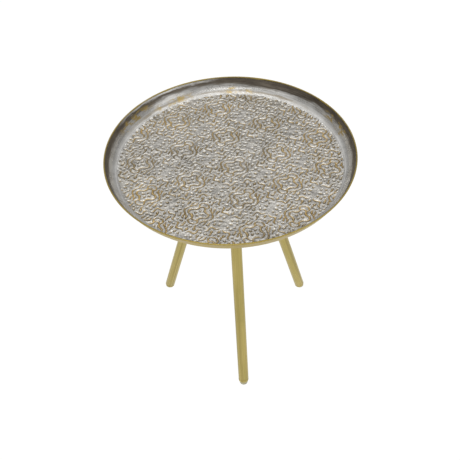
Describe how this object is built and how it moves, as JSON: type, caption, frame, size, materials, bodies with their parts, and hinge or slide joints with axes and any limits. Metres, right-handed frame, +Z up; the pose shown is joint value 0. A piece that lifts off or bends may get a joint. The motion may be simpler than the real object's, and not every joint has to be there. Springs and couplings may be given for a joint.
{
  "type": "tray table",
  "caption": "Round embossed tray with a flared rim on three splayed, screw-in tube legs that meet under its middle.",
  "frame": {"origin": "on the floor, directly under the centre of the tray", "axes": "+Z up through the centre of the tray; the front leg points to -Y"},
  "size_m": [0.41, 0.41, 0.45],
  "materials": {
    "tray_patina": "embossed sheet with a silvered, darkened antique patina; brass shows in the recesses, on the edge and on the outside",
    "leg_brass": "satin antique brass with fine drawing lines along the tube",
    "hardware_steel": "zinc plated",
    "pad_nylon": "matt moulded nylon"
  },
  "bodies": {
    "top": {"tray": "tray_patina", "hub_plate": "leg_brass", "tray_stud_1": "hardware_steel", "plate_washer_1": "hardware_steel", "plate_nut_1": "hardware_steel", "leg_boss_1": "leg_brass", "tray_stud_2": "hardware_steel", "plate_washer_2": "hardware_steel", "plate_nut_2": "hardware_steel", "leg_boss_2": "leg_brass", "tray_stud_3": "hardware_steel", "plate_washer_3": "hardware_steel", "plate_nut_3": "hardware_steel", "leg_boss_3": "leg_brass"},
    "pad_1": {"foot_pad_1": "pad_nylon"},
    "leg_1": {"leg_tube_1": "leg_brass", "leg_insert_1": "hardware_steel", "leg_stud_1": "hardware_steel", "foot_cap_1": "leg_brass"},
    "pad_2": {"foot_pad_2": "pad_nylon"},
    "leg_2": {"leg_tube_2": "leg_brass", "leg_insert_2": "hardware_steel", "leg_stud_2": "hardware_steel", "foot_cap_2": "leg_brass"},
    "pad_3": {"foot_pad_3": "pad_nylon"},
    "leg_3": {"leg_tube_3": "leg_brass", "leg_insert_3": "hardware_steel", "leg_stud_3": "hardware_steel", "foot_cap_3": "leg_brass"}
  },
  "joints": [
    {"name": "leg_1_travel", "type": "slide", "parent": "top", "child": "pad_1", "axis": [0, -0.2682, -0.9634], "range_m": [0, 0.0181]},
    {"name": "leg_1_screw", "type": "hinge", "parent": "pad_1", "child": "leg_1", "pos_m": [0, -0.16, 0], "axis": [0, -0.2682, -0.9634], "range_deg": [0, 4320]},
    {"name": "leg_2_travel", "type": "slide", "parent": "top", "child": "pad_2", "axis": [0.2369, 0.1065, -0.9657], "range_m": [0, 0.0181]},
    {"name": "leg_2_screw", "type": "hinge", "parent": "pad_2", "child": "leg_2", "pos_m": [0.14229, 0.06395, 0], "axis": [0.2369, 0.1065, -0.9657], "range_deg": [0, 4320]},
    {"name": "leg_3_travel", "type": "slide", "parent": "top", "child": "pad_3", "axis": [-0.2335, 0.1575, -0.9595], "range_m": [0, 0.0181]},
    {"name": "leg_3_screw", "type": "hinge", "parent": "pad_3", "child": "leg_3", "pos_m": [-0.13803, 0.09311, 0], "axis": [-0.2335, 0.1575, -0.9595], "range_deg": [0, 4320]}
  ],
  "couplings": [
    {"joint": "leg_1_travel", "follows": "leg_1_screw", "m_per_rad": 0.00023873},
    {"joint": "leg_2_travel", "follows": "leg_2_screw", "m_per_rad": 0.00023873},
    {"joint": "leg_3_travel", "follows": "leg_3_screw", "m_per_rad": 0.00023873}
  ]
}
